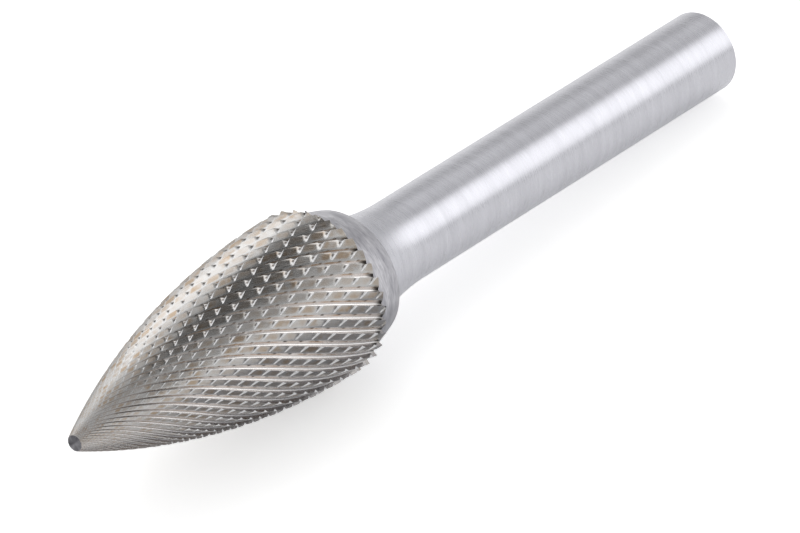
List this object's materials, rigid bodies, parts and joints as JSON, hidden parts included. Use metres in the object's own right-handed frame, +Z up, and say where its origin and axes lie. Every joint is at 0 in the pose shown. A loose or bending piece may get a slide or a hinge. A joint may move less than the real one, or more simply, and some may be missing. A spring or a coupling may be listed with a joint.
{
  "type": "carbide burr",
  "caption": "Double-cut carbide burr of pointed tree form, brazed to a plain round steel shank, for a die grinder or rotary tool to cut and shape metal.",
  "frame": {"origin": "centre of the bounding box, on the surface that the tool lies on", "axes": "+X along the tool from the nose to the shank's free end, seen from above; +Z up. The tool's own axis falls a little towards the shank's end, as it rests."},
  "size_m": [0.07, 0.012, 0.0121],
  "materials": {
    "tungsten_carbide": "ground cutting teeth, bright edges, faint tan tint in the flutes",
    "ground_steel": "satin, fine circumferential grinding lines"
  },
  "bodies": {
    "root": {"carbide_head": "tungsten_carbide", "steel_shank": "ground_steel"}
  },
  "joints": []
}
